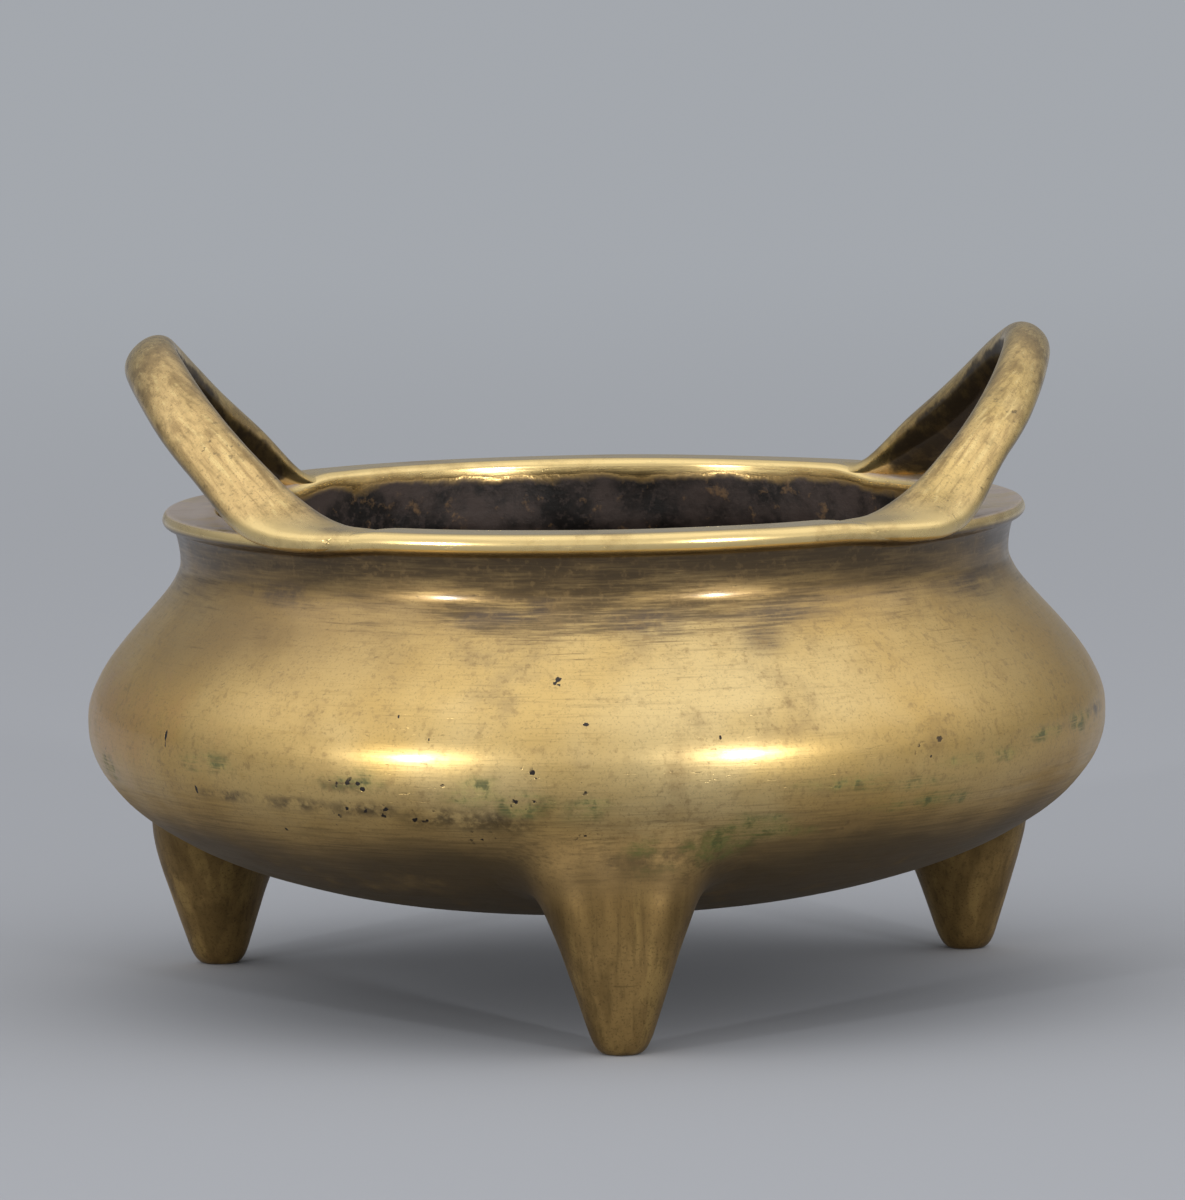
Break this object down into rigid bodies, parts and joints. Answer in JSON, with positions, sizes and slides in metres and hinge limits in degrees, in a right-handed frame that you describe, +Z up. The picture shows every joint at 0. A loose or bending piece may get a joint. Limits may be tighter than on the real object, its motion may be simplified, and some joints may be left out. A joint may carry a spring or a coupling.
{
  "type": "bronze tripod censer",
  "caption": "Squat round bronze censer with a flared lip, arched handles leaning out from its rim and conical feet, holding ash and incense in its open bowl.",
  "frame": {"origin": "on the ground, on the axis of the bowl", "axes": "+Z up along the axis of the bowl, -Y towards the front foot, +X towards the right handle"},
  "size_m": [0.15, 0.15, 0.0981],
  "materials": {
    "bowl_bronze": "worn satin bronze with fine polishing lines, dark patina in the neck and specks of verdigris",
    "handle_bronze": "rubbed satin bronze with mottled brown and grey-green patina",
    "foot_bronze": "brown-gold bronze with dark mottling and rubbed tips"
  },
  "bodies": {
    "root": {"bowl": "bowl_bronze", "left_handle": "handle_bronze", "right_handle": "handle_bronze", "front_foot": "foot_bronze", "left_rear_foot": "foot_bronze", "right_rear_foot": "foot_bronze"}
  },
  "joints": []
}
